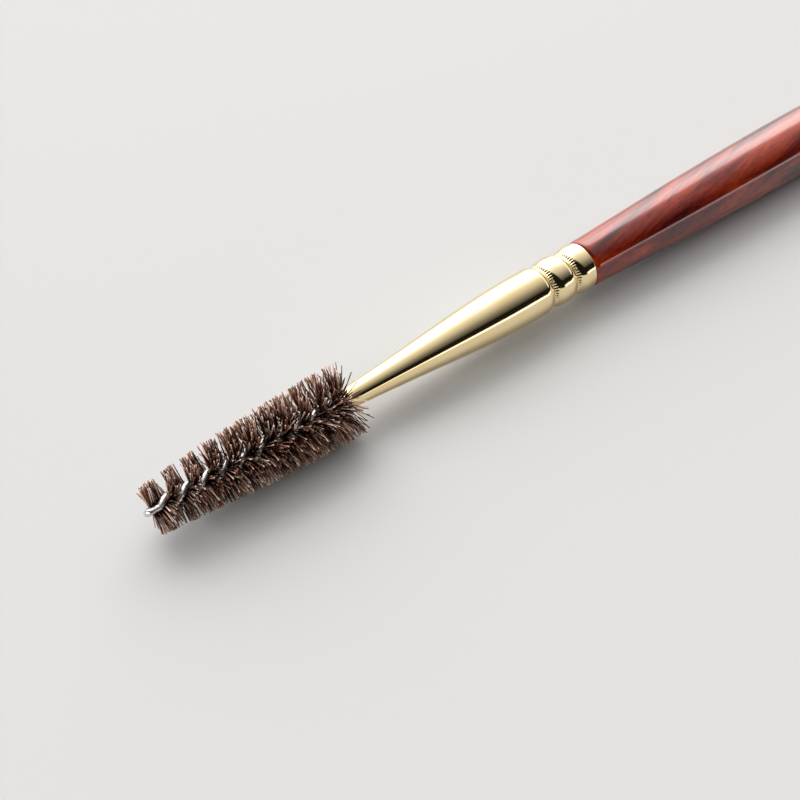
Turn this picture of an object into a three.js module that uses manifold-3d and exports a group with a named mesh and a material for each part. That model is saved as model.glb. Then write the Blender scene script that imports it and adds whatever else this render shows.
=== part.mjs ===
// A small cosmetic screw brush: a tapered twisted-in-wire head in a gilt brass ferrule on a turned,
// lacquered hardwood handle. It lies level on its belly and its bristles, along X, with the tip at -X.
// Lengths are millimetres. A "station" is a distance along the brush, measured from the wire loop's tip.
import * as THREE from "three";
import { mergeVertices } from "three/addons/utils/BufferGeometryUtils.js";
import Module from "manifold-3d";

const wasm = await Module();
wasm.setup();

// ---- Driving dimensions ----
const BRUSH_LENGTH = 155;
const HEAD_LENGTH = 24.3; // tip of the loop to the ferrule's mouth
const FERRULE_LENGTH = 34.5;
const FERRULE_R = 3.0;
const MOUTH_R = 1.18;
const SHEET = 0.25; // wall of the drawn brass tube
const NOSE_ROUND = 0.15; // rounding of the mouth's outer edge
const BELLY_R = 4.15; // thickest place of the handle
const BUTT_FLAT_R = 1.2; // faced-off end of the handle

const WIRE_R = 0.375;
const LAYER = 0.25; // hairs squeezed between the two legs of the wire
const TIP_HALF_TURN = 2.43; // axial length of half a turn of the twist, at the loop
const MOUTH_HALF_TURN = 1.97; // and at the ferrule, where the twist is tighter
const LOOP_STRAIGHT = 1.65; // the legs start to twist at this station
const LOOP_ANGLE = THREE.MathUtils.degToRad(45); // way the first hairs point, from +Y towards +Z
const STEM_END = 49.5; // the wire's cut ends, inside the handle's tenon

const HAIR_TIP_R = 2.5; // half width of the head at its tip
const HAIR_ROOT_R = 4.1; // and at the ferrule
const TUFTS = 11;
const TUFT_STEPS = 6; // along each half turn
const FAN = THREE.MathUtils.degToRad(35); // half angle that a tuft spreads to at its rim

const TENON_LENGTH = 12;
const TENON_R = 2.5;
const STEM_HOLE_R = 1.0;
const STEM_HOLE_DEPTH = 4;

const CLEARANCE = 0.05; // between solids that touch on the real brush
const SEGMENTS = 28; // flats round a turned piece
const CURVE_STEPS = 4; // straight steps along each curve of a turned outline

// ---- Stations that follow from them ----
const MOUTH = HEAD_LENGTH;
const RIM = HEAD_LENGTH + FERRULE_LENGTH;
const TENON_FRONT = RIM - TENON_LENGTH;
const GROOVES = [RIM - 6.1, RIM - 2.45]; // two crimps rolled into ferrule and tenon
const GROOVE_DEPTH = 0.5;
const GROOVE_HALF = 1.2; // half width of a crimp, shoulder to root
const LEG_OFFSET = WIRE_R + LAYER / 2; // wire centre from the brush's axis, among the hairs
const BARE_OFFSET = WIRE_R + 0.02; // and in the bare stem, where the legs close up
const CORE_R = LEG_OFFSET + WIRE_R + CLEARANCE;

const brush = new THREE.Group();
brush.position.set(-BRUSH_LENGTH / 2, 0, BELLY_R * Math.cos(Math.PI / SEGMENTS));

// ---- Materials ----
function finish(color, roughness, metalness) {
  return new THREE.MeshStandardMaterial({ color, roughness, metalness });
}
const rosewood = finish(0x7a2a18, 0.18, 0);
const giltBrass = finish(0xe6cf95, 0.12, 1);
const steel = finish(0xb9bab8, 0.25, 1);
const hair = finish(0x3d2018, 0.5, 0);
const resin = finish(0x8c6a3a, 0.3, 0);
const cement = finish(0xcfc6a8, 0.6, 0);

function addPiece(name, geometry, material) {
  const piece = new THREE.Mesh(geometry, material);
  piece.name = name;
  brush.add(piece);
  return piece;
}

// ---- Shared helpers ----

// A turned piece. The outline's x is a station and its y a radius. One flat faces the table.
function turned(outline) {
  const profile = outline.map((p) => new THREE.Vector2(p.y, p.x));
  const lathe = new THREE.LatheGeometry(profile, SEGMENTS, Math.PI / SEGMENTS);
  return lathe.rotateZ(-Math.PI / 2);
}

function solidOf(geometry) {
  const bare = geometry.clone();
  bare.deleteAttribute("normal");
  bare.deleteAttribute("uv");
  const merged = mergeVertices(bare, 1e-4);
  const mesh = new wasm.Mesh({
    numProp: 3,
    vertProperties: merged.attributes.position.array,
    triVerts: new Uint32Array(merged.index.array),
  });
  return new wasm.Manifold(mesh);
}

function geometryOf(solid) {
  const mesh = solid.getMesh();
  const geometry = new THREE.BufferGeometry();
  geometry.setAttribute("position", new THREE.BufferAttribute(mesh.vertProperties, 3));
  geometry.setIndex(new THREE.BufferAttribute(mesh.triVerts, 1));
  return geometry;
}

// Half turns of the twist between the loop and a station. Each is a little shorter than the one before it,
// as far as the ferrule's mouth, and after that they stay alike.
const TWIST_LENGTH = MOUTH - LOOP_STRAIGHT;
const SHORTENING = (MOUTH_HALF_TURN - TIP_HALF_TURN) / TWIST_LENGTH;

function halfTurnsAt(station) {
  const along = THREE.MathUtils.clamp(station - LOOP_STRAIGHT, 0, TWIST_LENGTH);
  const inHead = Math.log(1 + (SHORTENING * along) / TIP_HALF_TURN) / SHORTENING;
  return inHead + Math.max(0, station - MOUTH) / MOUTH_HALF_TURN;
}

// The station where a number of half turns is complete.
function stationAt(halfTurns) {
  return LOOP_STRAIGHT + (TIP_HALF_TURN * (Math.exp(halfTurns * SHORTENING) - 1)) / SHORTENING;
}

// Way the hairs point at a station. The legs of the wire stand a quarter turn from it. The twist is
// left-handed.
function hairAngle(station) {
  return LOOP_ANGLE - Math.PI * halfTurnsAt(station);
}

// ---- Ferrule: a drawn tube, tapered to its mouth, with two rolled crimps near its rim ----

// The crimps' path between two stations: round shoulders down to a narrow root, and up again.
function rolledCrimps(path, radius) {
  for (const root of GROOVES) {
    path.lineTo(root - GROOVE_HALF, radius);
    path.quadraticCurveTo(root - 0.4, radius, root, radius - GROOVE_DEPTH);
    path.quadraticCurveTo(root + 0.4, radius, root + GROOVE_HALF, radius);
  }
}

// The ferrule's skin at a distance inside its outer face, from the mouth to the rim.
function ferruleSkin(inset) {
  const skin = new THREE.Path();
  skin.moveTo(MOUTH, MOUTH_R - inset);
  skin.bezierCurveTo(34, 1.8 - inset, 41.5, 2.87 - inset, 48.5, FERRULE_R - inset);
  rolledCrimps(skin, FERRULE_R - inset);
  skin.lineTo(RIM, FERRULE_R - inset);
  return skin.getPoints(CURVE_STEPS);
}

const ferruleOutside = ferruleSkin(0);
ferruleOutside[0].x += NOSE_ROUND;
ferruleOutside.unshift(new THREE.Vector2(MOUTH, MOUTH_R - NOSE_ROUND));
const ferruleInside = ferruleSkin(SHEET).reverse();
const ferruleOutline = [...ferruleOutside, ...ferruleInside, ferruleOutside[0].clone()];
addPiece("ferrule", turned(ferruleOutline), giltBrass);

// ---- Handle: a tenon with the stem's hole, a swelling belly, and a slender butt ----
function handleOutline() {
  const inside = FERRULE_R - SHEET - CLEARANCE;
  const outline = new THREE.Path();
  outline.moveTo(TENON_FRONT + STEM_HOLE_DEPTH, 0);
  outline.lineTo(TENON_FRONT + STEM_HOLE_DEPTH, STEM_HOLE_R);
  outline.lineTo(TENON_FRONT, STEM_HOLE_R);
  outline.lineTo(TENON_FRONT, TENON_R - 0.3);
  outline.lineTo(TENON_FRONT + 0.5, TENON_R);
  outline.lineTo(GROOVES[0] - 1.5, TENON_R);
  outline.lineTo(GROOVES[0] - 1.4, inside);
  rolledCrimps(outline, inside);
  outline.lineTo(RIM + CLEARANCE, inside);
  outline.lineTo(RIM + CLEARANCE, FERRULE_R - 0.06);
  outline.bezierCurveTo(72, 3.5, 86, 4.08, 100, BELLY_R);
  outline.bezierCurveTo(116, BELLY_R, 136, 3.1, BRUSH_LENGTH - 3.5, 2.45);
  outline.quadraticCurveTo(BRUSH_LENGTH - 0.1, 2.3, BRUSH_LENGTH, BUTT_FLAT_R);
  outline.lineTo(BRUSH_LENGTH, 0);
  return outline.getPoints(CURVE_STEPS);
}
addPiece("handle", turned(handleOutline()), rosewood);

// The cement that fills the space between the plain part of the tenon and the ferrule.
const cementOutside = FERRULE_R - SHEET - CLEARANCE;
const cementInside = TENON_R + CLEARANCE;
const cementFront = TENON_FRONT + 2;
const cementBack = GROOVES[0] - 1.65;
const cementOutline = [
  new THREE.Vector2(cementFront, cementInside),
  new THREE.Vector2(cementFront, cementOutside),
  new THREE.Vector2(cementBack, cementOutside),
  new THREE.Vector2(cementBack, cementInside),
  new THREE.Vector2(cementFront, cementInside),
];
addPiece("tenon_cement", turned(cementOutline), cement);

// ---- Core wire: one steel wire, folded into a hairpin and twisted ----

// The hairpin's centre line: up one leg from its cut end, round the loop, and down the other leg.
class HairpinPath extends THREE.Curve {
  constructor(loopShare) {
    super();
    this.loopShare = loopShare;
  }

  // Points are spaced by parameter, so that the loop gets its own share of them.
  getUtoTmapping(u) {
    return u;
  }

  getPoint(t, target = new THREE.Vector3()) {
    const fromMiddle = t - 0.5;
    const side = fromMiddle < 0 ? -1 : 1;
    const half = this.loopShare / 2;
    const bendCentre = WIRE_R + LEG_OFFSET;
    if (Math.abs(fromMiddle) <= half) {
      const turn = (fromMiddle / half) * (Math.PI / 2);
      const along = bendCentre - LEG_OFFSET * Math.cos(turn);
      return this.place(target, along, LEG_OFFSET * Math.sin(turn));
    }
    const share = (Math.abs(fromMiddle) - half) / (0.5 - half);
    const station = bendCentre + share * (STEM_END - bendCentre);
    const closed = THREE.MathUtils.smoothstep(station, MOUTH - 0.4, MOUTH + 1.6);
    return this.place(target, station, side * THREE.MathUtils.lerp(LEG_OFFSET, BARE_OFFSET, closed));
  }

  place(target, station, offset) {
    const angle = hairAngle(station) + Math.PI / 2;
    return target.set(station, offset * Math.cos(angle), offset * Math.sin(angle));
  }
}

const LOOP_STEPS = 8;
const LEG_STEPS = Math.round(halfTurnsAt(STEM_END) * 4);
const WIRE_SIDES = 8;

function wireGeometry(radius) {
  const section = new THREE.Shape();
  for (let i = 0; i < WIRE_SIDES; i++) {
    const angle = (2 * Math.PI * i) / WIRE_SIDES;
    const corner = [radius * Math.cos(angle), radius * Math.sin(angle)];
    if (i === 0) section.moveTo(...corner);
    else section.lineTo(...corner);
  }
  const steps = LOOP_STEPS + 2 * LEG_STEPS;
  return new THREE.ExtrudeGeometry(section, {
    steps,
    extrudePath: new HairpinPath(LOOP_STEPS / steps),
  });
}
addPiece("core_wire", wireGeometry(WIRE_R), steel);

// ---- Resin that holds the stem in the ferrule's nose, moulded round the twisted wire ----
const RESIN_START = MOUTH + 0.3;
const RESIN_END = MOUTH + 9;

function resinGeometry() {
  const outline = [new THREE.Vector2(RESIN_START, 0)];
  for (const p of ferruleSkin(SHEET + CLEARANCE)) {
    if (p.x > RESIN_START && p.x < RESIN_END) outline.push(p);
  }
  outline[0].y = 0;
  outline.splice(1, 0, new THREE.Vector2(RESIN_START, MOUTH_R - SHEET - CLEARANCE));
  outline.push(new THREE.Vector2(RESIN_END, outline.at(-1).y));
  outline.push(new THREE.Vector2(RESIN_END, 0));
  const plug = solidOf(turned(outline));
  return geometryOf(plug.subtract(solidOf(wireGeometry(WIRE_R + 0.02))));
}
addPiece("nose_resin", resinGeometry(), resin);

// ---- Bristle: the hairs that one half turn of the wire holds make one tuft ----

const FIRST_HAIRS = WIRE_R * 2 + 0.1; // just behind the bend of the loop
const LAST_HAIRS = MOUTH - 0.3;

// Radius of the clipped head at a station.
function headRadius(station) {
  const share = Math.min(1, station / LAST_HAIRS);
  return HAIR_ROOT_R - (HAIR_ROOT_R - HAIR_TIP_R) * (1 - share) ** 1.65;
}

// Section through a tuft: a thin layer of hairs between the legs, which fans out past them on both sides.
function tuftSection() {
  const half = LAYER / 2 - 0.075;
  const hub = [-CORE_R, -0.45, 0, 0.45, CORE_R];
  const rim = [-FAN, -FAN / 3, FAN / 3, FAN];
  const right = rim.map((a) => [HAIR_ROOT_R * Math.cos(a), HAIR_ROOT_R * Math.sin(a)]);
  const left = right.map(([x, y]) => [-x, -y]);
  const lower = hub.map((x) => [x, -half]);
  const upper = lower.map(([x, y]) => [-x, -y]);
  const corners = [...lower, ...right, ...upper, ...left];
  return new THREE.Shape(corners.map(([x, y]) => new THREE.Vector2(x, y)));
}

// The section, carried from one station to the next while it turns with the wire and follows the taper.
function tuftGeometry(from, to) {
  const steps = Math.ceil(((to - from) / MOUTH_HALF_TURN) * TUFT_STEPS);
  const tuft = new THREE.ExtrudeGeometry(tuftSection(), { depth: to - from, steps, bevelEnabled: false });
  const points = tuft.getAttribute("position");
  for (let i = 0; i < points.count; i++) {
    const x = points.getX(i);
    const y = points.getY(i);
    const station = from + points.getZ(i);
    const nominal = Math.hypot(x, y);
    const reach = (headRadius(station) - CORE_R) / (HAIR_ROOT_R - CORE_R);
    const radius = nominal > CORE_R ? CORE_R + (nominal - CORE_R) * reach : nominal;
    const angle = Math.atan2(y, x) + hairAngle(station);
    points.setXYZ(i, station, radius * Math.cos(angle), radius * Math.sin(angle));
  }
  return tuft;
}

for (let i = 0; i < TUFTS; i++) {
  const from = i === 0 ? FIRST_HAIRS : stationAt(i - 0.5) + CLEARANCE;
  const to = Math.min(LAST_HAIRS, stationAt(i + 0.5) - CLEARANCE);
  addPiece(`bristle_tuft_${String(i + 1).padStart(2, "0")}`, tuftGeometry(from, to), hair);
}

export default brush;
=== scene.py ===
# %% [markdown]
# # A cosmetic screw brush
#
# This lesson builds the looks of a small screw brush, the kind that combs brows and lashes. It has four
# visible parts: a steel wire twisted round stiff hairs, a gold-plated ferrule with two rolled crimps, and
# a lacquered handle of dark red hardwood. The design already exists as plain solids with the right sizes.
# Each visible part is replaced by a finer mesh in the same place, and every part gets a material made
# from nodes.
#
# The brush lies along X with its tip at -X. A "station" is a distance along it, in millimetres, from the
# tip of the wire loop.

import math

import bpy
import numpy as np
from mathutils import Matrix, Vector


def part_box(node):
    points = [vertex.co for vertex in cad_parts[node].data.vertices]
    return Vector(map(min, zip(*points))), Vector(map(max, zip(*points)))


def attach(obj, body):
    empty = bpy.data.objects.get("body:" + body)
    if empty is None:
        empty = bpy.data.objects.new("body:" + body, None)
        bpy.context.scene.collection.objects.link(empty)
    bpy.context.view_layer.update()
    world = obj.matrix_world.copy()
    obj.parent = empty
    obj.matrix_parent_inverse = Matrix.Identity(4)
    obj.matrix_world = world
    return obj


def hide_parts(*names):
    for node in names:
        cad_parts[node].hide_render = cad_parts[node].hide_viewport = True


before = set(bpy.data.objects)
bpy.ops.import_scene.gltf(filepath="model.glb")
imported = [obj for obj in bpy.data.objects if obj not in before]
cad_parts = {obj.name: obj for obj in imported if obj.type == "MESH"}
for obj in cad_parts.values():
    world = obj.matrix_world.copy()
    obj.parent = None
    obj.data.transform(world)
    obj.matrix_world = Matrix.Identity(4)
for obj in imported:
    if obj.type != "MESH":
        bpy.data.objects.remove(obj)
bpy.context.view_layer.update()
scene = bpy.context.scene
print("nodes:", ", ".join(sorted(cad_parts)))

# %% [markdown]
# ## Places and sizes
# The main places and sizes come from the solids' own boxes, so that each fine mesh lands on its solid.
# Three places matter most: the tip of the wire loop, the ferrule's mouth and its rim. The brush's axis is
# level, and it runs through the middle of the ferrule. Blender works in metres, but a brush is easier to
# think about in millimetres.

# %% Stations along the brush
MM = 0.001
ferrule_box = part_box("ferrule")
handle_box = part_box("handle")
wire_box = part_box("core_wire")

TIP_X = wire_box[0].x
AXIS_Z = (ferrule_box[0].z + ferrule_box[1].z) / 2
MOUTH = (ferrule_box[0].x - TIP_X) / MM
RIM = (ferrule_box[1].x - TIP_X) / MM
BUTT = (handle_box[1].x - TIP_X) / MM
STEM_END = (wire_box[1].x - TIP_X) / MM
FERRULE_R = (ferrule_box[1].z - ferrule_box[0].z) / 2 / MM
BELLY_R = (handle_box[1].z - handle_box[0].z) / 2 / MM


def to_frame(points):
    """Turns (station, y, z) about the brush's axis, in millimetres, into places in the frame, in metres."""
    return np.asarray(points, float) * MM + np.array([TIP_X, 0.0, AXIS_Z])


print(f"mouth at {MOUTH:.1f} mm, rim at {RIM:.1f}, butt at {BUTT:.1f}, axis {AXIS_Z / MM:.2f} mm up")

# %% [markdown]
# ## Camera
# The camera stands in front of the tip and looks down on the brush, so that the head comes towards the
# viewer and the handle runs away out of the picture. It could be aimed by hand, or by a constraint on an
# empty. Here its three axes are worked out from two angles, and it is then set back along its own line of
# sight from one point of the ferrule. That keeps the view the same wherever the brush lies.

# %% Camera
LOOK_POINT = Vector(to_frame([29.7, 0, 0]))  # on the axis, just behind the ferrule's mouth
AZIMUTH = math.radians(38.2)
ELEVATION = math.radians(48.3)
DISTANCE = 115.8 * MM
LOOK_OFFSET = (-1.47 * MM, 2.55 * MM)  # of that point from the picture's middle, to the right and up

ahead = Vector((
    math.cos(ELEVATION) * math.sin(AZIMUTH),
    math.cos(ELEVATION) * math.cos(AZIMUTH),
    -math.sin(ELEVATION),
))
right = ahead.cross(Vector((0, 0, 1))).normalized()
up = right.cross(ahead)
camera = bpy.data.objects.new("camera", bpy.data.cameras.new("camera"))
scene.collection.objects.link(camera)
camera.data.lens = 48.15
camera.data.clip_start = 5 * MM
camera.location = LOOK_POINT - ahead * DISTANCE - right * LOOK_OFFSET[0] - up * LOOK_OFFSET[1]
camera.rotation_euler = Matrix((right, up, -ahead)).transposed().to_euler()
scene.camera = camera
scene.view_settings.view_transform = "Standard"
print("camera at", [round(c / MM, 1) for c in camera.location], "mm")

# %% [markdown]
# ## Small helpers
# Colours are written as the hex values a painter or a web page uses. They are sRGB, and Blender's nodes
# want linear light, so one function turns them over. Another adds a node, sets it and links it in one
# call, which keeps each material readable as a recipe. Three more are for shapes: one makes a mesh object
# from corners and faces, one draws a smooth curve, and one turns an outline round the brush's axis, as a
# lathe does. Blender's screw modifier could turn it as well. Plain arithmetic also lets the radius change
# round the piece, which the ferrule needs.


# %% Colour
def srgb(code):
    """An sRGB hex colour as linear red, green, blue and alpha."""
    parts = [int(code[i : i + 2], 16) / 255 for i in (1, 3, 5)]
    linear = [c / 12.92 if c <= 0.04045 else ((c + 0.055) / 1.055) ** 2.4 for c in parts]
    return (*linear, 1.0)


def grey(level):
    """A linear grey, from 0 to 1, as an sRGB hex colour."""
    part = 12.92 * level if level <= 0.0031308 else 1.055 * level ** (1 / 2.4) - 0.055
    return "#" + f"{round(255 * part):02x}" * 3


# %% Nodes
def add(tree, kind, inputs=None, stops=None, **settings):
    """Adds a node to a tree. An input is a value or another node's output. Stops fill a colour ramp."""
    node = tree.nodes.new(kind)
    for name, value in settings.items():
        setattr(node, name, value)
    for name, value in (inputs or {}).items():
        if isinstance(value, bpy.types.NodeSocket):
            tree.links.new(value, node.inputs[name])
        else:
            node.inputs[name].default_value = value
    if stops:
        ramp = node.color_ramp
        while len(ramp.elements) < len(stops):
            ramp.elements.new(1.0)
        for element, (position, colour) in zip(ramp.elements, stops):
            element.position = position
            element.color = srgb(colour)
    return node


def new_material(name):
    """A material with an empty node tree, and that tree."""
    material = bpy.data.materials.new(name)
    material.use_nodes = True
    material.node_tree.nodes.clear()
    return material, material.node_tree


# %% Meshes
def make_piece(name, points, faces, material, smooth=True):
    """A mesh object from points in the frame, which rides on the brush and has the given material."""
    mesh = bpy.data.meshes.new(name)
    mesh.from_pydata(np.asarray(points).tolist(), [], faces)
    mesh.materials.append(material)
    mesh.polygons.foreach_set("use_smooth", [smooth] * len(mesh.polygons))
    mesh.validate()
    piece = bpy.data.objects.new(name, mesh)
    scene.collection.objects.link(piece)
    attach(piece, "root")
    print(f"{name}: {len(mesh.vertices)} corners, {len(mesh.polygons)} faces")
    return piece


def bezier(corners, count):
    """Points along a Bezier curve of any order, without its last point."""
    t = np.linspace(0, 1, count, endpoint=False)[:, None]
    order = len(corners) - 1
    weights = [math.comb(order, i) * t**i * (1 - t) ** (order - i) for i in range(order + 1)]
    return sum(w * np.array(c, float) for w, c in zip(weights, corners))


def turned(outline, columns, ripple=None):
    """Points and faces of a turned piece. The outline, (station, radius), closes or ends on the axis."""
    outline = np.asarray(outline, float)
    angle = np.linspace(0, 2 * math.pi, columns, endpoint=False)
    radius = np.repeat(outline[:, 1:2], columns, axis=1)
    if ripple is not None:
        radius = radius + ripple(outline[:, 0:1], outline[:, 1:2], angle[None, :])
    station = np.repeat(outline[:, 0:1], columns, axis=1)
    points = np.stack([station, radius * np.cos(angle), radius * np.sin(angle)], axis=-1)
    rows = len(outline)
    closed = outline[0, 1] > 0 and outline[-1, 1] > 0
    corner = np.arange(rows * columns).reshape(rows, columns)
    faces = []
    for row in range(rows if closed else rows - 1):
        here, there = corner[row], corner[(row + 1) % rows]
        for column in range(columns):
            after = (column + 1) % columns
            faces.append((here[column], here[after], there[after], there[column]))
    return to_frame(points.reshape(-1, 3)), [tuple(int(i) for i in face) for face in faces]


# %% [markdown]
# ## Gold-plated brass
# Brush ferrules are deep-drawn from thin brass sheet, buffed, nickel-plated and given a flash of gold.
# The eye sees a mirror with a pale, warm tint and a trace of haze. A metal's colour is its reflection's
# colour, so the shader is fully metallic. Buffing wheels leave faint lines round the piece, tens of
# micrometres apart. Those are too fine to show, so they are drawn about ten times coarser, as a very
# slight bump and a small change of roughness.


# %% Gold-plated brass
def gold_plated_brass():
    material, tree = new_material("gold_plated_buffed_brass")
    place = add(tree, "ShaderNodeTexCoord").outputs["Object"]
    BUFF_LINE = 0.3 * MM  # drawn coarser than the real 0.03 mm
    round_it = add(tree, "ShaderNodeMapping", {"Vector": place, "Scale": (1, 0.05, 0.05)})
    lines = add(tree, "ShaderNodeTexNoise", {
        "Vector": round_it.outputs[0], "Scale": 1 / BUFF_LINE, "Detail": 3.0,
    })
    haze = add(tree, "ShaderNodeTexNoise", {"Vector": place, "Scale": 1 / (4 * MM), "Detail": 4.0})
    lines_and_haze = {0: lines.outputs["Fac"], 1: haze.outputs["Fac"]}
    mixed = add(tree, "ShaderNodeMath", lines_and_haze, operation="MULTIPLY")
    roughness = add(tree, "ShaderNodeMapRange", {
        "Value": mixed.outputs[0], "From Max": 0.5, "To Min": 0.05, "To Max": 0.12,
    })
    tint = add(tree, "ShaderNodeValToRGB", {"Fac": haze.outputs["Fac"]}, stops=[
        (0.3, "#f1d9a6"), (0.7, "#f5e0b3"),
    ])
    bump = add(tree, "ShaderNodeBump", {
        "Height": lines.outputs["Fac"], "Strength": 0.12, "Distance": 0.004 * MM,
    })
    metal = add(tree, "ShaderNodeBsdfPrincipled", {
        "Base Color": tint.outputs["Color"],
        "Metallic": 1.0,
        "Roughness": roughness.outputs[0],
        "Normal": bump.outputs[0],
    })
    add(tree, "ShaderNodeOutputMaterial", {"Surface": metal.outputs[0]})
    return material


# %% [markdown]
# ## Ferrule
# The ferrule is one thin tube. It swells from a mouth hardly wider than the wire stem to the handle's
# width, and two grooves are rolled into it to lock it on the tenon. The rolling wheel is toothed, so each
# groove's root carries a row of fine nicks. It could be a cylinder with loop cuts and a bevel. A turned
# outline is closer to how the tube is made, and it lets the nicks be a ripple of the radius that exists
# only near the two roots.

# %% Ferrule shape
SHEET = 0.25  # wall of the tube, in millimetres
CRIMPS = (RIM - 6.1, RIM - 2.45)
CRIMP_DEPTH = 0.62
CRIMP_HALF = 1.6  # half width of a crimp, shoulder to root
CRIMP_DOME = 2.2  # power that domes the shoulders and narrows the root
NICKS = 48  # teeth of the rolling wheel round one crimp
NICK_DEPTH = 0.045
NICK_HALF = 0.15  # half length of a nick, along the brush
NICK_SHIFT = 0.16  # the nicks lie a little behind the root
MOUTH_R = 1.18
LIP_R = 0.14  # rounding of the mouth's outer edge
BARREL_START = 48.5  # station where the taper ends
RIM_ROUND = 0.1  # length of the rolled-in rim


def crimp_depth(station):
    """How deep the two crimps cut at a station: domed shoulders that fall to a narrow root."""
    nearness = [np.clip(1 - np.abs(station - root) / CRIMP_HALF, 0, 1) for root in CRIMPS]
    return CRIMP_DEPTH * sum(near**CRIMP_DOME for near in nearness)


def nick_ripple(station, radius, angle):
    """The nicks: shallow teeth pressed round each crimp's root, on the outer face only."""
    outside = radius > FERRULE_R - crimp_depth(station) - SHEET / 2
    ripple = np.zeros((len(station), angle.shape[1]))
    for root in CRIMPS:
        near = np.exp(-(((station - root - NICK_SHIFT) / NICK_HALF) ** 2)) * outside
        ripple = ripple + near * NICK_DEPTH * np.cos(NICKS * angle)
    return ripple


def ferrule_skin(inset, taper_rows, crimp_rows):
    """One face of the tube from mouth to rim, at a distance inside the outer face."""
    taper = bezier([(MOUTH, MOUTH_R), (34, 1.8), (41.5, 2.87), (BARREL_START, FERRULE_R)], taper_rows)
    station = np.linspace(BARREL_START, RIM - RIM_ROUND, crimp_rows)
    barrel = np.stack([station, FERRULE_R - crimp_depth(station)], axis=1)
    skin = np.concatenate([taper, barrel])
    skin[:, 1] -= inset
    return skin


def ferrule_outline():
    """The whole wall of the tube: outer face, rim, inner face and mouth."""
    outside = ferrule_skin(0.0, taper_rows=44, crimp_rows=150)
    outside[:, 1] -= 0.5 * LIP_R * np.exp(-(outside[:, 0] - MOUTH) / LIP_R)
    inside = ferrule_skin(SHEET, taper_rows=12, crimp_rows=24)[::-1]
    lip = SHEET / 2
    turn = np.linspace(0, math.pi, 10)[1:-1]
    rim = np.stack([RIM - RIM_ROUND + lip * np.sin(turn), FERRULE_R - lip + lip * np.cos(turn)], axis=1)
    mouth = np.stack([MOUTH - 0.5 * lip * np.sin(turn), MOUTH_R - lip - lip * np.cos(turn)], axis=1)
    return np.concatenate([outside, rim, inside, mouth])


gold = gold_plated_brass()
points, faces = turned(ferrule_outline(), columns=8 * NICKS, ripple=nick_ripple)
ferrule = make_piece("gilt_ferrule", points, faces, gold)
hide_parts("ferrule")

# %% [markdown]
# ## Lacquered hardwood
# The handle is turned from a dense red-brown hardwood, stained, and dipped in clear lacquer again and
# again. What the eye gets is deep colour under a glassy skin. Growth layers about 2 mm apart run almost
# along the handle and surface as long darker streaks. Between them are fibres, drawn 0.16 mm wide so that
# they show, and short dark pores. All three are stretched noises. Layers and fibres follow one tilted
# grain, so the round surface cuts them as a lathe does. Cut fibres mirror light as well as scatter it,
# which makes polished wood glow on the lit side; a part-metallic base gives that glow its red colour. The
# lacquer is the shader's coat, with an IOR a little over clear varnish's 1.5.


# %% Lacquered hardwood
def lacquered_hardwood():
    material, tree = new_material("stained_lacquered_hardwood")
    place = add(tree, "ShaderNodeTexCoord").outputs["Object"]
    RING = 1.9 * MM
    FIBRE = 0.16 * MM
    PORE = 0.12 * MM
    grain_way = (0.3, math.radians(3), math.radians(-11))
    tilted = add(tree, "ShaderNodeMapping", {"Vector": place, "Rotation": grain_way})
    along = add(tree, "ShaderNodeMapping", {"Vector": tilted.outputs[0], "Scale": (0.09, 1, 1)})
    figure = add(tree, "ShaderNodeTexNoise", {
        "Vector": along.outputs[0], "Scale": 1 / RING, "Detail": 4.0, "Roughness": 0.6, "Distortion": 0.6,
    })
    fine = add(tree, "ShaderNodeMapping", {"Vector": tilted.outputs[0], "Scale": (0.05, 1, 1)})
    fibres = add(tree, "ShaderNodeTexNoise", {"Vector": fine.outputs[0], "Scale": 1 / FIBRE, "Detail": 4.0})
    dashes = add(tree, "ShaderNodeMapping", {"Vector": place, "Scale": (0.1, 1, 1)})
    pores = add(tree, "ShaderNodeTexNoise", {"Vector": dashes.outputs[0], "Scale": 1 / PORE, "Detail": 1.0})
    wood = add(tree, "ShaderNodeValToRGB", {"Fac": figure.outputs["Fac"]}, stops=[
        (0.34, "#3c0e13"), (0.43, "#6a1a10"), (0.53, "#8e2710"), (0.68, "#a93c11"),
    ])
    fibre_tone = add(tree, "ShaderNodeValToRGB", {"Fac": fibres.outputs["Fac"]}, stops=[
        (0.3, "#b8a6a0"), (0.65, "#ffffff"),
    ])
    wood_and_fibres = {0: 0.8, 6: wood.outputs["Color"], 7: fibre_tone.outputs["Color"]}
    streaked = add(tree, "ShaderNodeMix", wood_and_fibres, data_type="RGBA", blend_type="MULTIPLY")
    pore_mask = add(tree, "ShaderNodeMapRange", {
        "Value": pores.outputs["Fac"], "From Min": 0.7, "From Max": 0.78,
    })
    wood_and_pores = {0: pore_mask.outputs[0], 6: streaked.outputs[2], 7: srgb("#2a0a08")}
    colour = add(tree, "ShaderNodeMix", wood_and_pores, data_type="RGBA")
    bump = add(tree, "ShaderNodeBump", {
        "Height": fibres.outputs["Fac"], "Strength": 0.15, "Distance": 0.01 * MM,
    })
    orange_peel = add(tree, "ShaderNodeTexNoise", {"Vector": place, "Scale": 1 / (1.5 * MM), "Detail": 1.0})
    skin = add(tree, "ShaderNodeBump", {
        "Height": orange_peel.outputs["Fac"], "Strength": 0.1, "Distance": 0.01 * MM,
    })
    surface = add(tree, "ShaderNodeBsdfPrincipled", {
        "Base Color": colour.outputs[2],
        "Metallic": 0.4,
        "Roughness": 0.42,
        "IOR": 1.5,
        "Specular IOR Level": 0.0,
        "Normal": bump.outputs[0],
        "Coat Weight": 1.0,
        "Coat Roughness": 0.05,
        "Coat IOR": 1.6,
        "Coat Normal": skin.outputs[0],
    })
    add(tree, "ShaderNodeOutputMaterial", {"Surface": surface.outputs[0]})
    return material


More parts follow.
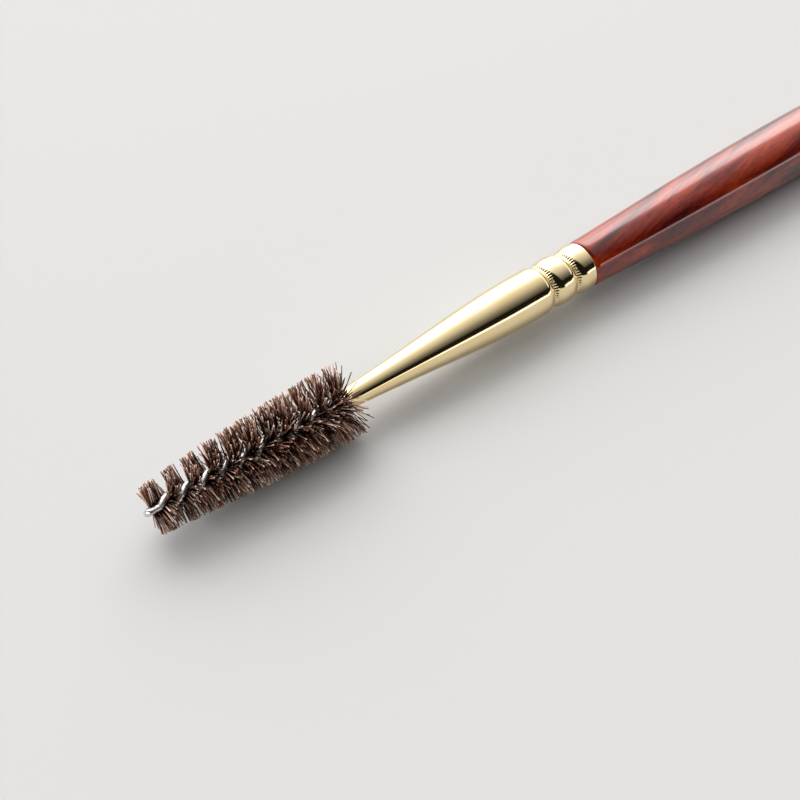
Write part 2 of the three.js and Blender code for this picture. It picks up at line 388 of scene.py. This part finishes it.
# %% [markdown]
# ## Handle
# Behind the ferrule the handle swells to a belly, where the fingers hold it, and then thins to a rounded
# butt with a small flat where the turner parted it off. In front, a tenon goes into the ferrule, and the
# wire's cut ends sit in a hole in the tenon. The whole length is one turned outline made of Bezier curves,
# which bulge as evenly as a lathe's template does.

# %% Handle shape
TENON_FRONT = RIM - 12
TENON_R = 2.5
HOLE_R = 1.0
HOLE_DEPTH = 4
GAP = 0.05  # between the wood and the ferrule
BELLY = 100  # station of the thickest place
ROUNDING = 3.5  # length of the rounded butt
FLAT_R = 1.2  # flat left by the parting tool


def handle_outline():
    """The handle from the bottom of the tenon's hole, over tenon and belly, to the middle of the butt."""
    hole_end = TENON_FRONT + HOLE_DEPTH
    hole = [(hole_end, 0), (hole_end, HOLE_R), (TENON_FRONT, HOLE_R)]
    crimped_from = CRIMPS[0] - CRIMP_HALF
    plain = [(TENON_FRONT, TENON_R - 0.3), (TENON_FRONT + 0.5, TENON_R), (crimped_from - 0.1, TENON_R)]
    station = np.linspace(crimped_from, RIM + GAP, 40)
    crimped = np.stack([station, FERRULE_R - SHEET - GAP - crimp_depth(station)], axis=1)
    front = bezier([(RIM + GAP, FERRULE_R - 0.06), (72, 3.5), (86, 4.08), (BELLY, BELLY_R)], 48)
    back = bezier([(BELLY, BELLY_R), (116, BELLY_R), (136, 3.1), (BUTT - ROUNDING, 2.45)], 48)
    end = bezier([(BUTT - ROUNDING, 2.45), (BUTT - 1.2, 2.33), (BUTT, 2.1), (BUTT, FLAT_R)], 20)
    return np.concatenate([hole, plain, crimped, front, back, end, [(BUTT, FLAT_R), (BUTT, 0)]])


hardwood = lacquered_hardwood()
points, faces = turned(handle_outline(), columns=96)
handle = make_piece("turned_handle", points, faces, hardwood)
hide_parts("handle")

# %% [markdown]
# ## Steel wire
# The core is plain drawn steel wire, three quarters of a millimetre thick. Drawing leaves fine lines along
# it, and twisting scuffs it, so its highlights are bright but broken. One noise, a quarter of a millimetre
# across, gives the scuffs in roughness, tone and bump.


# %% Drawn steel
def drawn_steel():
    material, tree = new_material("drawn_and_twisted_steel")
    place = add(tree, "ShaderNodeTexCoord").outputs["Object"]
    SCUFF = 0.25 * MM
    scuffs = add(tree, "ShaderNodeTexNoise", {"Vector": place, "Scale": 1 / SCUFF, "Detail": 5.0})
    roughness = add(tree, "ShaderNodeMapRange", {
        "Value": scuffs.outputs["Fac"], "To Min": 0.18, "To Max": 0.38,
    })
    tone = add(tree, "ShaderNodeValToRGB", {"Fac": scuffs.outputs["Fac"]}, stops=[
        (0.3, "#bcbab7"), (0.7, "#eae9e7"),
    ])
    bump = add(tree, "ShaderNodeBump", {
        "Height": scuffs.outputs["Fac"], "Strength": 0.15, "Distance": 0.01 * MM,
    })
    metal = add(tree, "ShaderNodeBsdfPrincipled", {
        "Base Color": tone.outputs["Color"],
        "Metallic": 1.0,
        "Roughness": roughness.outputs[0],
        "Normal": bump.outputs[0],
    })
    add(tree, "ShaderNodeOutputMaterial", {"Surface": metal.outputs[0]})
    return material


# %% [markdown]
# ## Core wire
# One wire is folded into a hairpin and its two legs are twisted together, left-handed, with the hairs
# trapped between them. From the loop to the ferrule each half turn is a little shorter than the one
# before it, so the twist is tightest at the ferrule. The fold stays as a small round loop at the tip. A
# curve object with a bevel would draw it too, but a tube swept along computed points shares its formula
# with the hairs, so wire and hairs can't drift apart.

# %% Twist
WIRE_R = 0.375
LAYER = 0.25  # hairs between the legs
TIP_HALF_TURN = 2.43  # length of half a turn at the loop
MOUTH_HALF_TURN = 1.97  # and at the ferrule, where the twist is tighter
LOOP_STRAIGHT = 1.65  # station where the twist starts
LOOP_ANGLE = math.radians(45)  # the way the loop faces, from +Y towards +Z
LEG_OFFSET = WIRE_R + LAYER / 2  # of a leg's middle from the axis, with hairs between the legs
BARE_OFFSET = WIRE_R + 0.02  # and without
CLOSING = (MOUTH - 0.4, MOUTH + 1.6)  # where the legs come together behind the last hairs
WIRE_SIDES = 20


def half_turns(station):
    """Half turns of the twist from the loop to a station. Each is a little shorter than the one before."""
    length = MOUTH - LOOP_STRAIGHT
    shortening = (MOUTH_HALF_TURN - TIP_HALF_TURN) / length
    along = np.clip(station - LOOP_STRAIGHT, 0, length)
    in_head = np.log(1 + shortening * along / TIP_HALF_TURN) / shortening
    return in_head + np.maximum(0, station - MOUTH) / MOUTH_HALF_TURN


def hair_angle(station):
    """The way the hairs point at a station, from +Y towards +Z."""
    return LOOP_ANGLE - math.pi * half_turns(station)


def smoothstep(x, low, high):
    t = np.clip((x - low) / (high - low), 0, 1)
    return t * t * (3 - 2 * t)


# %% Sweep
def sweep(path, radius, sides, reference):
    """Points and faces of closed tubes. path is (tubes, steps, 3) and radius is (tubes, steps)."""
    tubes, steps = path.shape[:2]
    ahead_of = np.gradient(path, axis=1)
    ahead_of /= np.linalg.norm(ahead_of, axis=2, keepdims=True)
    across = reference - np.sum(ahead_of * reference, axis=2, keepdims=True) * ahead_of
    across /= np.linalg.norm(across, axis=2, keepdims=True)
    third = np.cross(ahead_of, across)
    turn = np.linspace(0, 2 * math.pi, sides, endpoint=False)
    ring = across[:, :, None] * np.cos(turn)[:, None] + third[:, :, None] * np.sin(turn)[:, None]
    points = path[:, :, None] + ring * radius[:, :, None, None]
    corner = np.arange(tubes * steps * sides).reshape(tubes, steps, sides)
    here, after = corner[:, :-1], np.roll(corner, -1, axis=2)[:, :-1]
    there, beyond = corner[:, 1:], np.roll(corner, -1, axis=2)[:, 1:]
    walls = np.stack([here, after, beyond, there], axis=-1).reshape(-1, 4)
    starts = corner[:, 0, ::-1]
    ends = corner[:, -1]
    return points.reshape(-1, 3), walls.tolist() + starts.tolist() + ends.tolist()


# %% Core wire shape
def hairpin(leg_steps, loop_steps):
    """The wire's centre line: up one leg, round the loop and down the other, as (station, y, z)."""
    bend_centre = WIRE_R + LEG_OFFSET
    station = np.linspace(STEM_END, bend_centre, leg_steps, endpoint=False)
    closed = smoothstep(station, *CLOSING)
    offset = LEG_OFFSET + (BARE_OFFSET - LEG_OFFSET) * closed
    turn = np.linspace(-math.pi / 2, math.pi / 2, loop_steps)
    along = np.concatenate([station, bend_centre - LEG_OFFSET * np.cos(turn), station[::-1]])
    side = np.concatenate([-offset, LEG_OFFSET * np.sin(turn), offset[::-1]])
    angle = hair_angle(along) + math.pi / 2
    return np.stack([along, side * np.cos(angle), side * np.sin(angle)], axis=1)


def wire_reference(path):
    """The way the hairs point at each step of the wire. The wire itself never runs that way."""
    angle = hair_angle(path[:, 0])
    return np.stack([np.zeros(len(path)), np.cos(angle), np.sin(angle)], axis=1)


path = hairpin(leg_steps=520, loop_steps=28)
radius = np.full((1, len(path)), WIRE_R)
points, faces = sweep(path[None], radius, WIRE_SIDES, wire_reference(path)[None])
steel = drawn_steel()
core_wire = make_piece("twisted_wire", to_frame(points), faces, steel)
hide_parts("core_wire")

# %% [markdown]
# ## Resin and cement
# Two fillings hold the brush together, and hardly show. Amber epoxy locks the wire stem in the ferrule's
# nose, and a chalky cement fills the space round the tenon. Their solids already have the right shape, so
# they stay and only get a material: the epoxy is glossy with small bubbles, and the cement is matt and
# grainy.


# %% Epoxy
def amber_epoxy():
    material, tree = new_material("cured_amber_epoxy")
    place = add(tree, "ShaderNodeTexCoord").outputs["Object"]
    bubbles = add(tree, "ShaderNodeTexVoronoi", {"Vector": place, "Scale": 1 / (0.4 * MM)})
    tone = add(tree, "ShaderNodeValToRGB", {"Fac": bubbles.outputs["Distance"]}, stops=[
        (0.1, "#8a6234"), (0.5, "#a87a3e"),
    ])
    surface = add(tree, "ShaderNodeBsdfPrincipled", {
        "Base Color": tone.outputs["Color"], "Roughness": 0.2, "IOR": 1.55, "Coat Weight": 0.3,
    })
    add(tree, "ShaderNodeOutputMaterial", {"Surface": surface.outputs[0]})
    return material


# %% Cement
def set_cement():
    material, tree = new_material("set_tenon_cement")
    place = add(tree, "ShaderNodeTexCoord").outputs["Object"]
    grit = add(tree, "ShaderNodeTexNoise", {"Vector": place, "Scale": 1 / (0.15 * MM), "Detail": 6.0})
    tone = add(tree, "ShaderNodeValToRGB", {"Fac": grit.outputs["Fac"]}, stops=[
        (0.3, "#b3a888"), (0.7, "#d3cbb0"),
    ])
    bump = add(tree, "ShaderNodeBump", {
        "Height": grit.outputs["Fac"], "Strength": 0.4, "Distance": 0.05 * MM,
    })
    surface = add(tree, "ShaderNodeBsdfPrincipled", {
        "Base Color": tone.outputs["Color"], "Roughness": 0.85, "IOR": 1.5, "Normal": bump.outputs[0],
    })
    add(tree, "ShaderNodeOutputMaterial", {"Surface": surface.outputs[0]})
    return material


for node_name, filling in (("nose_resin", amber_epoxy()), ("tenon_cement", set_cement())):
    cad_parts[node_name].data.materials.clear()
    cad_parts[node_name].data.materials.append(filling)
    print(node_name, "is now", filling.name)

# %% [markdown]
# ## Bristle
# The hairs are stiff natural bristle, dyed dark brown, about an eighth of a millimetre thick. Each is
# held at its middle and so has two ends. Keratin has an index of refraction of 1.55, set a little higher
# here for the gloss of new bristle, and a scaly surface. So each hair gets a thin bright line along it
# where the light falls right. Two numbers are stored on each hair's corners: how far along it they are,
# for a painted shade that darkens each hair towards the core, where the core and the other hairs shade it,
# and a tone of its own, because no two hairs take the dye alike and about one in five hardly takes it.


# %% Dyed bristle
def dyed_bristle():
    material, tree = new_material("dyed_natural_bristle")
    along = add(tree, "ShaderNodeAttribute", attribute_name="along")
    tone = add(tree, "ShaderNodeAttribute", attribute_name="tone")
    dye = add(tree, "ShaderNodeValToRGB", {"Fac": tone.outputs["Fac"]}, stops=[
        (0.0, "#160604"), (0.5, "#36170e"), (0.67, "#7c4832"), (0.8, "#dcae96"), (1.0, "#fff8f0"),
    ])
    # Painted shade: each hair's colour darkens towards the core, standing in for the shadow of the core and
    # other hairs.
    painted_core_shade = add(tree, "ShaderNodeValToRGB", {"Fac": along.outputs["Fac"]}, stops=[
        (0.15, "#4a342c"), (0.55, "#d8c4b8"), (1.0, "#ffffff"),
    ])
    worn = add(tree, "ShaderNodeMapRange", {
        "Value": along.outputs["Fac"], "From Min": 0.8, "From Max": 1.0, "To Max": 0.2,
    })
    dye_and_painted_shade = {0: 1.0, 6: dye.outputs["Color"], 7: painted_core_shade.outputs["Color"]}
    dye_with_painted_shade = add(tree, "ShaderNodeMix", dye_and_painted_shade, data_type="RGBA", blend_type="MULTIPLY")
    with_worn_ends = {0: worn.outputs[0], 6: dye_with_painted_shade.outputs[2], 7: srgb("#b08a74")}
    colour = add(tree, "ShaderNodeMix", with_worn_ends, data_type="RGBA")
    surface = add(tree, "ShaderNodeBsdfPrincipled", {
        "Base Color": colour.outputs[2],
        "Roughness": 0.2,
        "IOR": 1.6,
        "Specular IOR Level": 0.6,
        "Specular Tint": srgb("#ffdccc"),
    })
    add(tree, "ShaderNodeOutputMaterial", {"Surface": surface.outputs[0]})
    return material


# %% [markdown]
# ## Tufts
# Blender's hair system would grow strands from a surface, but these hairs grow from no surface: the wire
# grips them, and the twist turns each one a little further than the last. So each hair is worked out from
# the twist's own formula, as a thin tube through the core. Outside the core it strays round the axis,
# leans a little along it, and bends. The stray is even within a fixed angle, which gives each tuft the
# straight sides of a petal. At the tip the tufts stand apart. Towards the ferrule the angle grows and
# more and more hairs work loose from their tuft, so the petals merge, as they do where the real twist is
# tighter. The hairs of one half turn are one piece.

# %% Tuft shape
HEAD_TIP_R = 2.5
HEAD_ROOT_R = 4.12
HEAD_SWELL = 1.65  # power of the head's outline: a cone would have 1
LAST_HAIRS = MOUTH - 0.3
HAIR_STEPS = 17
HAIR_SIDES = 6
HAIR_R = (0.054, 0.074)
POINTED = 0.15  # share of its thickness that a hair loses towards each end
TIP_HAIRS_PER_MM = 50
ROOT_HAIRS_PER_MM = 66
TIP_FAN = math.radians(44)  # half angle of a tuft at the tip
ROOT_FAN = math.radians(60)  # and where the tufts merge
LOOSE_FAN = math.radians(85)  # half angle for hairs that have left their tuft
LOOSE_SHARE = 0.3
WIDENING = (0.05, 0.4)  # shares of the head's length between which the fans widen
MERGING = (0.15, 0.4)  # and between which hairs come loose
LAST_PART = (0.8, 1.0)
FAN_LENGTH = (0.1, 1.1)  # distances from the axis between which a hair bends out into the fan
TIP_LEAN = math.radians(4)  # spread of the hairs' lean along the brush
ROOT_LEAN = math.radians(7)
MOST_LEAN = 1.8  # spreads
LAST_LEAN = math.radians(7)  # of the last hairs, back over the ferrule's mouth
BEND = 0.06  # spread of the ends, along the brush
SWAY = 0.08  # and round it
TRIM = 0.016  # spread of the cut, as a share of the radius
LAYER_HALF = 0.06  # half thickness of the layer of hairs inside the wire
FLOOR_GAP = 0.07  # the hairs' centre lines stay this far above the floor
FIRST_SEED = 40


def blend(start, end, amount):
    return start + (end - start) * amount


def head_radius(station):
    """Radius that the shears leave at a station."""
    share = np.clip(station / LAST_HAIRS, 0, 1)
    return HEAD_ROOT_R - (HEAD_ROOT_R - HEAD_TIP_R) * (1 - share) ** HEAD_SWELL


def hair_paths(low, high, count, share, draw):
    """Centre lines of a tuft's hairs, as (hairs, steps, 3). share is 0 at the tip and 1 at the ferrule."""
    station = low + (high - low) * (np.arange(count) + draw.random(count)) / count
    station = station[:, None]
    reach = np.linspace(-1, 1, HAIR_STEPS)[None, :]
    behind = reach < 0
    merged = smoothstep(share, *MERGING)
    loose = draw.random((count, 1)) < LOOSE_SHARE * merged
    widened = smoothstep(share, *WIDENING)
    widest = np.where(loose, LOOSE_FAN, blend(TIP_FAN, ROOT_FAN, widened))
    strays = np.where(behind, *draw.uniform(-1, 1, (2, count, 1))) * widest
    spreads = np.where(behind, *draw.normal(0, 1, (2, count, 1)).clip(-MOST_LEAN, MOST_LEAN))
    leans = blend(TIP_LEAN, ROOT_LEAN, merged) * spreads + LAST_LEAN * smoothstep(share, *LAST_PART)
    bends = np.where(behind, *draw.normal(0, BEND, (2, count, 1)))
    sways = np.where(behind, *draw.normal(0, SWAY, (2, count, 1)))
    trims = np.where(behind, *draw.normal(1, TRIM, (2, count, 1)))
    distance = np.abs(reach) * head_radius(station) * trims
    fan = smoothstep(distance, *FAN_LENGTH)
    angle = hair_angle(station) + strays * fan + np.where(behind, math.pi, 0)
    level = draw.uniform(-LAYER_HALF, LAYER_HALF, (count, 1)) * (1 - fan)
    along = station + np.tan(leans) * np.maximum(0, distance - LEG_OFFSET) + bends * reach**2
    sideways = level + sways * reach**2
    y = distance * np.cos(angle) - sideways * np.sin(angle)
    z = distance * np.sin(angle) + sideways * np.cos(angle)
    lowest = FLOOR_GAP - AXIS_Z / MM
    return np.stack([along, y, np.maximum(z, lowest)], axis=-1)


# %% Grow the tufts
bristle = dyed_bristle()
tufts = sorted(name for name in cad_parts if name.startswith("bristle_tuft_"))
for order, name in enumerate(tufts):
    draw = np.random.default_rng(FIRST_SEED + order)
    share = order / (len(tufts) - 1)
    low, high = [(corner.x - TIP_X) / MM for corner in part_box(name)]
    count = round(blend(TIP_HAIRS_PER_MM, ROOT_HAIRS_PER_MM, share) * (high - low))
    paths = hair_paths(low, high, count, share, draw)
    reach = np.abs(np.linspace(-1, 1, HAIR_STEPS))
    radius = draw.uniform(*HAIR_R, (count, 1)) * (1 - POINTED * reach)
    points, faces = sweep(paths, radius, HAIR_SIDES, np.array([1.0, 0.0, 0.0]))
    tuft = make_piece(f"hairs_{name[-2:]}", to_frame(points), faces, bristle)
    tones = np.repeat(draw.random(count), HAIR_STEPS * HAIR_SIDES)
    places = np.tile(np.repeat(reach, HAIR_SIDES), count)
    for label, values in (("along", places), ("tone", tones)):
        attribute = tuft.data.attributes.new(label, "FLOAT", "POINT")
        attribute.data.foreach_set("value", values.astype(np.float32))
    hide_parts(name)

# %% [markdown]
# ## Floor
# A pale sheet of card lies under the brush. It is part of the studio and not of the object, so it is left
# unattached to the brush. It could be a curved sweep. A flat sheet is enough here, because it is so wide
# that its far edge looks like a horizon. A fine bump gives it the tooth of card.


# %% Floor
def pale_card():
    material, tree = new_material("pale_card")
    place = add(tree, "ShaderNodeTexCoord").outputs["Object"]
    tooth = add(tree, "ShaderNodeTexNoise", {"Vector": place, "Scale": 1 / (0.5 * MM), "Detail": 4.0})
    bump = add(tree, "ShaderNodeBump", {
        "Height": tooth.outputs["Fac"], "Strength": 0.1, "Distance": 0.02 * MM,
    })
    surface = add(tree, "ShaderNodeBsdfPrincipled", {
        "Base Color": srgb("#bababa"), "Roughness": 0.8, "Normal": bump.outputs[0],
    })
    add(tree, "ShaderNodeOutputMaterial", {"Surface": surface.outputs[0]})
    return material


FLOOR_HALF = 3.0
floor_mesh = bpy.data.meshes.new("floor")
corners = [(x * FLOOR_HALF, y * FLOOR_HALF, 0) for x, y in ((-1, -1), (1, -1), (1, 1), (-1, 1))]
floor_mesh.from_pydata(corners, [], [(0, 1, 2, 3)])
floor_mesh.materials.append(pale_card())
floor = bpy.data.objects.new("floor", floor_mesh)
scene.collection.objects.link(floor)
print("floor", 2 * FLOOR_HALF, "m wide")

# %% [markdown]
# ## Studio
# Polished metal shows whatever stands round it, so the studio is designed as the reflection we want. Seen
# across the ferrule from top to bottom, that is a big softbox behind and above, which fades towards the
# front, a dark gap, and a thin bright card low in front. Lamps and planes could make it, but each would
# show its own edges. A world made of nodes holds all of it: it reads the angle round the brush's long
# axis and looks up a ramp.
#
# The ends of the brush need care of their own. The softbox fades before them, so that its bands don't
# meet in a point. The front left is dark, which draws the black triangles behind the crimps. A bright
# panel off the tip rakes along the head, and picks single hairs and the twisted wire out of the dark; a
# dim strip off the butt edges the ferrule's rings. A low pale wall goes all the way round, behind the
# floor's far edge. Only reflections and light see any of this: the camera itself sees one plain pale
# backdrop.


# %% Studio surroundings
SOFTBOX = 5.5  # radiance of the brightest part
TIP_PANEL = 12.0  # of the panel off the tip
BUTT_STRIP = 1.4  # of the strip off the butt
BACKDROP = 0.82  # what the camera sees behind the floor's far edge
ROUND_THE_BRUSH = [  # degrees from straight up, positive behind the brush, and radiance there
    (-90, 0.75), (-86, 0.75), (-84, 2.2), (-80, 2.6), (-76, 0.01), (-56, 0.01), (-50, 0.09), (-44, 0.15),
    (-35, 0.26), (-23, 0.48), (-12, 0.7), (0, 0.9), (12, 1.2), (20, 1.8), (31, SOFTBOX), (50, SOFTBOX),
    (66, 3.2), (90, 1.6),
]
SLANT = 140.0  # the dark corner's edge: degrees round the brush for one unit along it


def studio_world():
    world = bpy.data.worlds.new("studio")
    world.use_nodes = True
    tree = world.node_tree
    tree.nodes.clear()
    way = add(tree, "ShaderNodeTexCoord").outputs["Generated"]
    x, y, z = add(tree, "ShaderNodeSeparateXYZ", {0: way}).outputs
    turn = add(tree, "ShaderNodeMath", {0: y, 1: z}, operation="ARCTAN2").outputs[0]
    angle = add(tree, "ShaderNodeMath", {0: turn}, operation="DEGREES").outputs[0]
    slanted = {0: x, 1: SLANT, 2: angle}
    slant = add(tree, "ShaderNodeMath", slanted, operation="MULTIPLY_ADD").outputs[0]

    across = add(tree, "ShaderNodeMapRange", {"Value": angle, "From Min": -90.0, "From Max": 90.0})
    greys = [((degrees + 90) / 180, grey(radiance / SOFTBOX)) for degrees, radiance in ROUND_THE_BRUSH]
    ramp = add(tree, "ShaderNodeValToRGB", {"Fac": across.outputs[0]}, stops=greys)
    scaled = {0: ramp.outputs["Color"], 1: SOFTBOX}
    made = {"bands": add(tree, "ShaderNodeMath", scaled, operation="MULTIPLY").outputs[0]}

    # An edge fades between two values of what it reads, from one level to another.
    edges = [
        ("left cap", x, (-0.45, 0.0), (0.4, SOFTBOX)),
        ("right cap", x, (0.9, 0.7), (0.4, SOFTBOX)),
        ("corner", slant, (-60.0, -30.0), (0.0, 1.0)),
        ("strip's near edge", x, (0.8, 0.84), (0.0, BUTT_STRIP)),
        ("strip's far edge", x, (0.92, 0.88), (0.0, 1.0)),
        ("tip panel", x, (-0.8, -0.85), (0.0, TIP_PANEL)),
        ("panels' foot", z, (0.26, 0.34), (0.0, 1.0)),
        ("wall", z, (0.12, 0.06), (0.01, 0.8)),
    ]
    for name, value, (start, end), (low, high) in edges:
        fade = {"Value": value, "From Min": start, "From Max": end, "To Min": low, "To Max": high}
        made[name] = add(tree, "ShaderNodeMapRange", fade, interpolation_type="SMOOTHSTEP").outputs[0]

    # Each line joins two things that are made, and names the result.
    joins = [
        ("strip", "strip's near edge", "MULTIPLY", "strip's far edge"),
        ("both panels", "strip", "ADD", "tip panel"),
        ("panels", "both panels", "MULTIPLY", "panels' foot"),
        ("softbox from the left", "bands", "MINIMUM", "left cap"),
        ("softbox", "softbox from the left", "MINIMUM", "right cap"),
        ("softbox with dark corner", "softbox", "MULTIPLY", "corner"),
        ("with panels", "softbox with dark corner", "MAXIMUM", "panels"),
        ("light", "with panels", "MAXIMUM", "wall"),
    ]
    for name, first, operation, second in joins:
        pair = {0: made[first], 1: made[second]}
        made[name] = add(tree, "ShaderNodeMath", pair, operation=operation).outputs[0]

    seen = add(tree, "ShaderNodeLightPath").outputs["Is Camera Ray"]
    light_or_backdrop = {0: seen, 2: made["light"], 3: BACKDROP}
    shown = add(tree, "ShaderNodeMix", light_or_backdrop, data_type="FLOAT").outputs[0]
    glow = add(tree, "ShaderNodeBackground", {"Color": srgb("#fffefc"), "Strength": shown})
    add(tree, "ShaderNodeOutputWorld", {"Surface": glow.outputs[0]})
    return world


scene.world = studio_world()
print("studio:", len(scene.world.node_tree.nodes), "nodes")
